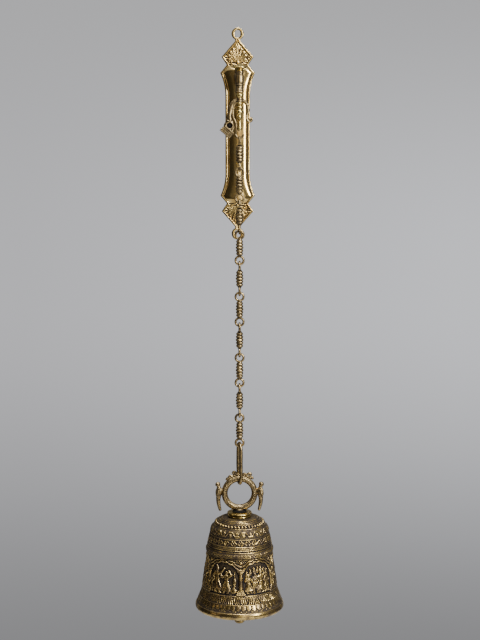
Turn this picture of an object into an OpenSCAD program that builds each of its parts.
// Temple bell on a chain, hung from a wall bracket.
// Origin: the wall face of the plate, midway between its two screw slots.
// +Z is up, the front looks along -Y and the wall is the plane y = 0.

/* [Wall plate] */
// Distance between the two wall screw slots, centre to centre
screw_spacing = 336.6; // [300:0.1:420]
// Half width of the plate's straight middle
waist_w = 20.7; // [18:0.1:25]
// Half width at the shoulders
shoulder_w = 29.2; // [27:0.1:36]
// Half width at the corners of the head
corner_w = 27; // [24:0.1:34]
// Half width at the neck between head and shoulders
neck_w = 18.2; // [16:0.1:22]
// Width of the raised rim
rim_w = 4; // [3:0.1:5]
// Depth of the rim from the wall
rim_h = 4.5; // [4:0.1:6]
// Depth of the crowned field at its middle
field_crown = 8.5; // [7.5:0.1:11]
// Thickness of the plate's metal
plate_t = 2.2; // [1.8:0.1:2.8]
// Width of a wall screw slot
slot_w = 9.2; // [7:0.1:11.5]
// Length of a wall screw slot
slot_l = 12.8; // [10:0.1:16]
// Metal round a slot's end
tab_metal = 3.9; // [3:0.1:6]

/* [Arm] */
// Free space between the bell's lip and the wall
wall_gap = 34.8; // [20:0.1:60]
// Height of the arm bar's middle
arm_z = 98; // [90:0.5:100]
// Height of the arm bar
bar_h = 12; // [9:0.5:15]
// Width of the arm bar
bar_w = 9; // [7:0.5:12]
// Radius of the barrel at the arm's end
barrel_r = 7.5; // [6.5:0.1:9]
// Length of the barrel
barrel_l = 35; // [28:0.5:44]
// Radius of the tie rod
rod_r = 3; // [2.4:0.1:3.6]
// Radius of the cap on the barrel
cap_r = 13.5; // [11:0.1:17]
// Radius of the arch's middle line
arch_r = 13.2; // [11:0.1:16]

/* [Chain] */
// Radius of the wire in hook and eyes
wire_r = 1.75; // [1.4:0.05:2.1]
// Radius of an eye's hole
eye_hole_r = 4.7; // [3.9:0.1:6]
// Distance between the centres of a link's two eyes
eye_cc = 42.4; // [35:0.1:52]
// Largest radius of a link's turned body
bead_r = 5.8; // [4.8:0.1:7]
// Length of a link's turned body
body_l = 25; // [20:0.5:25]
// Radius of the shackle's wire
shackle_r = 3; // [2.4:0.1:3.6]
// Half width of the shackle, to the middle of its wire
shackle_w = 10; // [9:0.1:12]
// Length of the shackle, between the middles of its end bends
shackle_l = 68.6; // [55:0.1:84]

/* [Crown] */
// Radius of the hole in the crown ring
ring_hole_r = 20.6; // [17:0.1:25]
// Half thickness of the crown ring
ring_t = 4.85; // [4:0.05:5.5]
// Radius of the collar under the ring
collar_r = 21; // [17:0.5:25]
// Height of the collar
collar_h = 8.6; // [7:0.1:11]
// Length of a bird
bird_l = 49; // [40:0.5:60]

/* [Bell] */
// Largest radius of the bell, just above its lip
bell_r = 75.2; // [62:0.1:91]
// Height of the bell, without its collar
bell_h = 160; // [133:0.5:192]
// Thickness of the bell's wall
bell_wall = 5.4; // [4:0.1:7]
// Thickness of the bell's crown
crown_t = 6; // [5:0.5:8]

/* [Clapper] */
// Radius of the clapper's ball
ball_r = 15; // [12:0.5:18]
// Height of the ball's middle above the lip
ball_up = 9; // [4:0.5:14]
// How far the clapper hangs below the lip
tip_below = 29; // [24:0.5:35]
// Radius of the clapper's rod
clapper_r = 3; // [2.4:0.1:3.6]

/* [Fits] */
// Gap between two parts that hang in each other
hang_gap = 0.3; // [0.2:0.05:0.5]
// Radial clearance of a rod or thread in its hole
rod_clear = 0.05; // [0.02:0.01:0.1]
// Radial clearance of a screw in a through hole
screw_clear = 0.2; // [0.1:0.05:0.4]

/* [Hidden] */
$fn = 64;

// Colours
gold = "goldenrod";
antique = "darkgoldenrod";
dark = "peru";
steel = "silver";

// Plate: heights of its outline's corners, measured down from a screw slot
slot_z = screw_spacing / 2;
tab_r = slot_l / 2 + tab_metal;
apex_z = slot_z - tab_r - 2;
corner_z = slot_z - 38.3;
neck_z = slot_z - 51.6;
shoulder_z = slot_z - 64.9;
flare_z = slot_z - 103.3;
flare_steps = 6;
floor_y = 1;
field_sag = field_crown - floor_y - plate_t;
field_half = waist_w - rim_w - 0.8;
field_r = (field_half * field_half + field_sag * field_sag) / (2 * field_sag);
bulge_taper = 26;

// Arm
reach = bell_r + wall_gap;
barrel_top = arm_z + 13;
barrel_bottom = barrel_top - barrel_l;
foot_r = barrel_r - 0.5;
foot_half = 11;
foot_y = field_crown + 7.5;
scrolls = [11, 8, 5.5];
scroll_w = 6;
screw_r = 2;
screw_head_r = 3.4;
screw_head_t = 2;
screw_zs = [arm_z - 12, arm_z + 2];
screw_end_y = foot_y - 1.5;
knob_h = 8;
cap_h = 12;
arch_t = 5.4;
arch_depth = 8;
arch_top = barrel_bottom - knob_h;
arch_z = arch_top - 1 - arch_t / 2 - arch_r;
boss_h = 7.5;
finial_top = arch_top - boss_h;
rod_top = barrel_top + cap_h - 6;
rod_bottom = finial_top - 10.5;

// Chain: an eye hangs below the one above it by eye_step
eye_r = eye_hole_r + wire_r;
eye_step = 2 * eye_r - 2 * wire_r - hang_gap;
pitch = eye_cc + eye_step;
finial_l = 45.5;
hook_sink = 0.2;
hook_z = finial_top - finial_l - eye_r - wire_r + hook_sink;
hook_shank = 11;
links = 10;
function top_eye_z(i) = hook_z - eye_step - (i - 1) * pitch;
last_pin_z = top_eye_z(links) - eye_cc - eye_r;
shackle_top_z = last_pin_z + wire_r + shackle_r + hang_gap;
shackle_bottom_z = shackle_top_z - shackle_l;

// Crown: the ring hangs on the shackle's lower bend
seat_gap = hang_gap + 0.2;
ring_r = ring_hole_r + ring_t;
ring_out_r = ring_hole_r + 2 * ring_t;
ring_z = shackle_bottom_z + shackle_r + seat_gap - ring_hole_r;
ring_foot_h = 1;
collar_top = ring_z - ring_out_r - ring_foot_h;
bell_top = collar_top - collar_h;
lip_z = bell_top - bell_h;
stud_r = 3.5;
stud_top = ring_z - ring_r - 0.5;
nut_r = 8;
nut_h = 6;

// Clapper
staple_wire = 2;
staple_r = 6;
staple_z = bell_top - crown_t - nut_h - staple_r - staple_wire - 1;
clapper_pin_z = staple_z - staple_r;
clapper_eye_z = clapper_pin_z + 2 * staple_wire + hang_gap + 0.1 - staple_r;
ball_z = lip_z + ball_up;
ball_flat = ball_r - 1;
tip_bottom = lip_z - tip_below;
tip_top = ball_z - ball_flat;
tip_r = 9.5;

// Bell outline as [radius, height] shares of bell_r and bell_h, from the lip up
bell_outline = [
    [0.957, 0], [0.990, 0.012], [1.000, 0.038], [0.997, 0.056], [0.977, 0.081],
    [0.941, 0.125], [0.910, 0.150], [0.884, 0.169], [0.863, 0.213], [0.842, 0.256],
    [0.807, 0.344], [0.781, 0.431], [0.758, 0.475], [0.749, 0.519], [0.746, 0.575],
    [0.734, 0.606], [0.769, 0.625], [0.773, 0.650], [0.769, 0.672], [0.745, 0.690],
    [0.738, 0.706], [0.711, 0.750], [0.692, 0.794], [0.676, 0.838], [0.650, 0.890],
    [0.572, 0.938], [0.490, 0.975], [0.359, 1]
];
// Inside of the bell, in the same shares, before the wall is taken off
bell_core = [
    [0.955, 0], [0.950, 0.081], [0.900, 0.150], [0.850, 0.225], [0.800, 0.350],
    [0.752, 0.475], [0.735, 0.600], [0.715, 0.740], [0.670, 0.840], [0.600, 0.910],
    [0.480, 0.965], [0.340, 1]
];

// ---- shared shapes ----

// Half width of the plate between the shoulder (t = 0) and the straight waist (t = 1)
function flare(t) = waist_w + (shoulder_w - waist_w) * (1 - t) * (1 - t);
function upper_side(inset) = concat(
    [[0, apex_z + 4 - 1.45 * inset], [tab_r * 0.42, apex_z - inset],
     [corner_w - 1.45 * inset, corner_z], [neck_w - inset, neck_z],
     [shoulder_w - 1.2 * inset, shoulder_z]],
    [for (i = [1:flare_steps]) [flare(i / flare_steps) - inset,
        shoulder_z + (flare_z - shoulder_z) * i / flare_steps]]
);
function right_side(inset) = let(up = upper_side(inset), last = len(up) - 1)
    concat(up, [for (i = [last:-1:0]) [up[i][0], -up[i][1]]]);
function plate_outline(inset) = let(side = right_side(inset), last = len(side) - 1)
    concat(side, [for (i = [last - 1:-1:1]) [-side[i][0], side[i][1]]]);

// The plate's outline as a slab from depth y0 to depth y1
module slab(inset, y0, y1) {
    translate([0, -y0, 0]) rotate([90, 0, 0]) linear_extrude(y1 - y0)
        polygon(plate_outline(inset));
}

// The field's crown: a long cylinder that tapers off under both heads
module field_bulge(grow) {
    bulge_r = field_r + grow;
    translate([0, field_r - field_crown, 0]) {
        cylinder(r = bulge_r, h = 2 * shoulder_z, center = true);
        for (side = [0, 1]) mirror([0, 0, side]) translate([0, 0, shoulder_z])
            cylinder(r1 = bulge_r, r2 = bulge_r - field_sag - 0.8, h = bulge_taper);
    }
}

// A turned piece on the hanging axis, from [radius, height] points
module turned(points) {
    translate([0, -reach, 0]) rotate_extrude() polygon(points);
}

// A straight round bar or hole on the hanging axis, from height z0 to z1
module upright(r, z0, z1) {
    translate([0, -reach, z0]) cylinder(r = r, h = z1 - z0);
}

// A wire ring round [0, z] of the hanging axis; turn 0 faces the front, 90 shows its edge
module wire_ring(mid_r, wire, z, turn) {
    translate([0, -reach, z]) rotate([90, 0, turn]) rotate_extrude()
        translate([mid_r, 0]) circle(r = wire);
}

// A ball in the plane of the arch, at [x, z]
module ball_at(place, r) {
    translate([place[0], -reach, place[1]]) sphere(r = r, $fn = 24);
}

// A tapered limb between two balls, each given as [[x, z], r]
module limb(from, to) {
    hull() {
        ball_at(from[0], from[1]);
        ball_at(to[0], to[1]);
    }
}

module wall_slot(side) {
    for (end = [-1, 1])
        translate([0, 1, side * slot_z + end * (slot_l - slot_w) / 2])
            rotate([90, 0, 0]) cylinder(r = slot_w / 2, h = rim_h + 2);
    translate([-slot_w / 2, -rim_h - 1, side * slot_z - (slot_l - slot_w) / 2])
        cube([slot_w, rim_h + 2, slot_l - slot_w]);
}

// ---- bracket ----

module wall_plate() {
    color(gold) difference() {
        union() {
            difference() {
                slab(0, 0, rim_h);
                slab(rim_w, -1, rim_h + 1);
            }
            slab(rim_w / 4, floor_y, floor_y + plate_t);
            intersection() {
                slab(rim_w * 0.75, 0, 2 * field_crown);
                field_bulge(0);
            }
            for (side = [-1, 1]) translate([0, 0, side * slot_z])
                rotate([90, 0, 0]) cylinder(r = tab_r, h = rim_h);
        }
        intersection() {
            slab(rim_w, -1, 2 * field_crown);
            field_bulge(-plate_t);
        }
        for (side = [-1, 1]) wall_slot(side);
        for (z = screw_zs) translate([0, 0, z])
            rotate([90, 0, 0]) cylinder(r = screw_r + screw_clear, h = 2 * field_crown);
    }
}

module arm_foot() {
    difference() {
        union() {
            translate([-foot_r, -foot_y, arm_z - foot_half]) cube([2 * foot_r, foot_y, 2 * foot_half]);
            for (side = [-1, 1]) translate([0, 0, arm_z + side * foot_half])
                rotate([90, 0, 0]) cylinder(r = foot_r, h = foot_y);
        }
        field_bulge(0);
        translate([-2 * foot_r, -floor_y - plate_t, 0]) cube([4 * foot_r, foot_y, 2 * arm_z]);
    }
}

// Rings of falling size under the bar, each touching the one before
module arm_scrolls() {
    bar_under = arm_z - bar_h / 2;
    starts = [
        foot_y + scrolls[0] - 0.5,
        foot_y + scrolls[0] + 2 * sqrt(scrolls[0] * scrolls[1]) - 1,
        foot_y + scrolls[0] + 2 * sqrt(scrolls[0] * scrolls[1]) + 2 * sqrt(scrolls[1] * scrolls[2]) - 1.5
    ];
    for (i = [0:len(scrolls) - 1])
        translate([-scroll_w / 2, -starts[i], bar_under - scrolls[i] + 0.5])
            rotate([0, 90, 0]) difference() {
                cylinder(r = scrolls[i], h = scroll_w);
                translate([0, 0, -1]) cylinder(r = scrolls[i] * 0.6, h = scroll_w + 2);
            }
}

module bracket_arm() {
    color(antique) difference() {
        union() {
            arm_foot();
            translate([-bar_w / 2, -reach, arm_z - bar_h / 2]) cube([bar_w, reach - foot_y + 1, bar_h]);
            arm_scrolls();
            upright(barrel_r - 0.8, barrel_bottom, barrel_top);
            for (z = [barrel_bottom + 2, arm_z - bar_h, arm_z + 5, barrel_top - 2])
                turned([[0, z - 2], [barrel_r - 0.8, z - 2], [barrel_r, z - 1], [barrel_r, z + 1],
                    [barrel_r - 0.8, z + 2], [0, z + 2]]);
        }
        upright(rod_r + rod_clear, barrel_bottom - 1, barrel_top + 1);
        for (z = screw_zs) translate([0, 0, z])
            rotate([90, 0, 0]) cylinder(r = screw_r + rod_clear, h = screw_end_y + 0.5);
    }
}

// The heads bear on the curved inside of the field, along the edges at their widest
module arm_screws() {
    hollow_r = field_r - plate_t;
    seat = field_crown - plate_t - hollow_r + sqrt(hollow_r * hollow_r - screw_head_r * screw_head_r);
    color(steel) for (z = screw_zs) translate([0, 0, z]) rotate([90, 0, 0]) {
        translate([0, 0, seat - screw_head_t]) cylinder(r = screw_head_r, h = screw_head_t);
        translate([0, 0, seat - 0.5]) cylinder(r = screw_r, h = screw_end_y - seat + 0.5);
    }
}

module tie_rod() {
    color(steel) upright(rod_r, rod_bottom, rod_top);
}

module post_cap() {
    color(antique) difference() {
        turned([[0, barrel_top], [barrel_r - 2, barrel_top], [barrel_r - 1, barrel_top + 1.5],
            [barrel_r, barrel_top + 3], [cap_r - 1.5, barrel_top + 4.5], [cap_r, barrel_top + 6],
            [cap_r, barrel_top + 7.5], [cap_r - 2, barrel_top + 9], [cap_r / 2, barrel_top + 10.5],
            [cap_r / 5, barrel_top + cap_h], [0, barrel_top + cap_h]]);
        upright(rod_r + rod_clear, barrel_top - 1, rod_top);
    }
}

module post_knob() {
    top = barrel_bottom;
    color(gold) difference() {
        turned([[0, top - knob_h], [rod_r + 2, top - knob_h], [rod_r + 3.4, top - knob_h + 2],
            [rod_r + 4, top - knob_h / 2], [rod_r + 3.4, top - 2], [rod_r + 2, top], [0, top]]);
        upright(rod_r + rod_clear, top - knob_h - 1, top + 1);
    }
}

// A half ring with an animal's head on the left and a curled tail on the right
module creature_arch() {
    left = -arch_r;
    head = [left - 4.2, arch_z - 26];
    color(antique) difference() {
        union() {
            translate([0, -reach, arch_z]) rotate([90, 0, 0]) rotate_extrude(angle = 180)
                translate([arch_r - arch_t / 2, -arch_depth / 2]) square([arch_t, arch_depth]);
            upright(rod_r + 2.4, finial_top, arch_top);
            limb([[left, arch_z], 3.6], [[left - 3, arch_z - 12], 4.4]);
            limb([[left - 3, arch_z - 12], 4.4], [[left + 2, arch_z - 22], 3.2]);
            limb([head, 5.4], [[left - 15, arch_z - 35], 2.8]);
            limb([[left - 9, arch_z - 36], 4.4], [[left, arch_z - 42], 3.2]);
            limb([[arch_r, arch_z], 3.2], [[arch_r - 0.6, arch_z - 13], 2.6]);
            translate([arch_r + 3.2, -reach + arch_depth / 4, arch_z - 18]) rotate([90, 0, 0])
                cylinder(r = 5, h = arch_depth / 2);
        }
        upright(rod_r + rod_clear, finial_top - 1, arch_top + 1);
        translate([head[0] + 1, -reach + arch_depth, head[1] - 3]) rotate([90, 0, 0])
            cylinder(r = 3, h = 2 * arch_depth);
    }
}

module drop_finial() {
    top = finial_top;
    low = finial_top - finial_l;
    color(antique) difference() {
        turned([[0, top], [rod_r + 1.5, top], [rod_r + 2.8, top - 2.5], [rod_r + 1.4, top - 5.5],
            [rod_r + 3.2, top - 8.5], [rod_r + 1.6, top - 12], [rod_r + 2.6, top - 16],
            [rod_r, top - 20], [rod_r + 1.2, top - 24], [wire_r + 1.3, top - 28],
            [wire_r + 1.4, low + 6], [wire_r + 2.4, low + 3], [wire_r + 1.5, low], [0, low]]);
        upright(rod_r + rod_clear, rod_bottom, top + 1);
        upright(wire_r + rod_clear, low - 1, low + hook_shank);
    }
}

module chain_hook() {
    shank_top = finial_top - finial_l + hook_shank;
    tip = -20;
    color(antique) {
        translate([0, -reach, hook_z]) rotate([90, tip - 180, 180]) rotate_extrude(angle = -270 - tip)
            translate([eye_r, 0]) circle(r = wire_r);
        upright(wire_r, hook_z + eye_r, shank_top);
        translate([eye_r * cos(tip), -reach, hook_z + eye_r * sin(tip)]) sphere(r = wire_r + 0.6);
    }
}

// ---- chain ----

module chain_link(i) {
    turn = i % 2 == 1 ? 90 : 0;
    top = top_eye_z(i);
    mid = top - eye_cc / 2;
    beads = [-2, -1, 0, 1, 2];
    bead_h = body_l / len(beads);
    neck_half = eye_cc / 2 - eye_r;
    color(antique) {
        wire_ring(eye_r, wire_r, top, turn);
        wire_ring(eye_r, wire_r, top - eye_cc, turn);
        upright(wire_r + 0.5, mid - neck_half, mid + neck_half);
        for (bead = beads) {
            z = mid + bead * bead_h;
            r = bead_r - 0.65 * abs(bead);
            turned([[0, z - bead_h / 2], [r - 1.6, z - bead_h / 2], [r, z - bead_h / 8],
                [r, z + bead_h / 8], [r - 1.6, z + bead_h / 2], [0, z + bead_h / 2]]);
        }
    }
}

module bell_shackle() {
    bend_top = shackle_top_z - shackle_w;
    bend_bottom = shackle_bottom_z + shackle_w;
    color(antique) {
        for (side = [0, 1]) translate([0, -reach, side == 0 ? bend_top : bend_bottom])
            rotate([90, side * 180, 90]) rotate_extrude(angle = 180)
                translate([shackle_w, 0]) circle(r = shackle_r);
        for (side = [-1, 1]) translate([0, -reach + side * shackle_w, bend_bottom])
            cylinder(r = shackle_r, h = bend_top - bend_bottom);
    }
}

// ---- bell ----

// An eight-sided ring on a round foot, which the eyebolt's stud screws into
module crown_ring() {
    foot_bottom = ring_z - ring_out_r - ring_foot_h;
    color(antique) difference() {
        union() {
            translate([0, -reach, ring_z]) rotate([90, 0, 0]) rotate_extrude()
                translate([ring_r, 0]) rotate(22.5) circle(r = ring_t / cos(22.5), $fn = 8);
            upright(stud_r + 5, foot_bottom, ring_z - ring_r - 1);
        }
        upright(stud_r + rod_clear, foot_bottom - 1, stud_top + 0.2);
    }
}

// A low band on top of the ring with three leaves standing on it
module crown_crest() {
    spread = 36;
    leaf_r = 4;
    leaf_at = ring_out_r + 6;
    crest_t = 5;
    color(antique) translate([0, -reach, ring_z]) rotate([90, 0, 0]) {
        rotate([0, 0, 90 - spread]) rotate_extrude(angle = 2 * spread)
            translate([ring_out_r, -crest_t * 0.4]) square([3.2, crest_t * 0.8]);
        for (a = [90 - 28, 90, 90 + 28]) rotate([0, 0, a]) translate([leaf_at, 0, -crest_t / 2])
            cylinder(r = leaf_r, h = crest_t);
    }
}

// A perched bird: head at the top, folded wings, long tail; a peg joins it to the ring
module bird(side) {
    top = ring_z + bird_l * 0.31;
    out = ring_out_r;
    color(antique) {
        limb([[side * (out + 5.6), top - 4], 4], [[side * (out + 4.6), top - 13], 4.4]);
        limb([[side * (out + 4.6), top - 13], 4.4], [[side * (out + 5.6), top - 24], 3]);
        limb([[side * (out + 5.6), top - 24], 3], [[side * (out + 2.8), top - bird_l + 1.6], 1.6]);
        limb([[side * (out + 5.6), top - 3], 2.2], [[side * (out + 9.4), top - 4], 1.1]);
        translate([side * (out + 3), -reach, ring_z]) rotate([0, 90, 0])
            cylinder(r = 1.6, h = 6, center = true);
    }
}

module crown_collar() {
    top = collar_top;
    color(gold) difference() {
        turned([[0, bell_top], [collar_r, bell_top], [collar_r, bell_top + 1.4],
            [collar_r - 1.8, bell_top + 2.4], [collar_r - 1, bell_top + 3.4], [collar_r, top - 3.6],
            [collar_r - 0.6, top - 2], [collar_r - 2.5, top - 0.8], [collar_r - 8, top], [0, top]]);
        upright(stud_r + rod_clear, bell_top - 1, top + 1);
    }
}

module bell_shell() {
    outside = [for (p = bell_outline) [p[0] * bell_r, lip_z + p[1] * bell_h]];
    core_h = bell_h - crown_t;
    inside = [for (p = bell_core) [p[0] * bell_r - bell_wall, lip_z + p[1] * core_h]];
    color(antique) difference() {
        turned(concat(outside, [[0, bell_top]], [[0, bell_top - crown_t]],
            [for (i = [len(inside) - 1:-1:0]) inside[i]]));
        upright(stud_r + screw_clear, bell_top - crown_t - 1, bell_top + 1);
    }
}

module clapper_eyebolt() {
    color(dark) {
        wire_ring(staple_r, staple_wire, staple_z, 90);
        upright(stud_r, staple_z + staple_r, stud_top);
    }
}

module crown_nut() {
    top = bell_top - crown_t;
    color(dark) difference() {
        translate([0, -reach, top - nut_h]) cylinder(r = nut_r, h = nut_h, $fn = 6);
        upright(stud_r + rod_clear, top - nut_h - 1, top + 1);
    }
}

// ---- clapper ----

module clapper_rod() {
    color(dark) {
        wire_ring(staple_r, staple_wire, clapper_eye_z, 0);
        upright(clapper_r, tip_bottom + 8, clapper_eye_z - staple_r);
    }
}

module clapper_ball() {
    color(antique) difference() {
        intersection() {
            translate([0, -reach, ball_z]) sphere(r = ball_r);
            upright(ball_r + 1, ball_z - ball_flat, ball_z + ball_flat);
        }
        upright(clapper_r + rod_clear, ball_z - ball_r - 1, ball_z + ball_r + 1);
    }
}

module clapper_tip() {
    span = tip_top - tip_bottom;
    color(antique) difference() {
        turned([[0, tip_top], [clapper_r + 2, tip_top], [clapper_r + 2, tip_top - 2],
            [tip_r - 1.5, tip_bottom + span * 0.7], [tip_r, tip_bottom + span * 0.45],
            [tip_r - 0.8, tip_bottom + span * 0.2], [tip_r - 3.5, tip_bottom], [0, tip_bottom]]);
        upright(clapper_r + rod_clear, tip_bottom + 7.8, tip_top + 1);
    }
}

wall_plate();
bracket_arm();
arm_screws();
tie_rod();
post_cap();
post_knob();
creature_arch();
drop_finial();
chain_hook();
chain_link(1);  // link_01
chain_link(2);  // link_02
chain_link(3);  // link_03
chain_link(4);  // link_04
chain_link(5);  // link_05
chain_link(6);  // link_06
chain_link(7);  // link_07
chain_link(8);  // link_08
chain_link(9);  // link_09
chain_link(10);  // link_10
bell_shackle();
crown_ring();
crown_crest();
bird(-1);  // bird_left
bird(1);  // bird_right
crown_collar();
bell_shell();
clapper_eyebolt();
crown_nut();
clapper_rod();
clapper_ball();
clapper_tip();
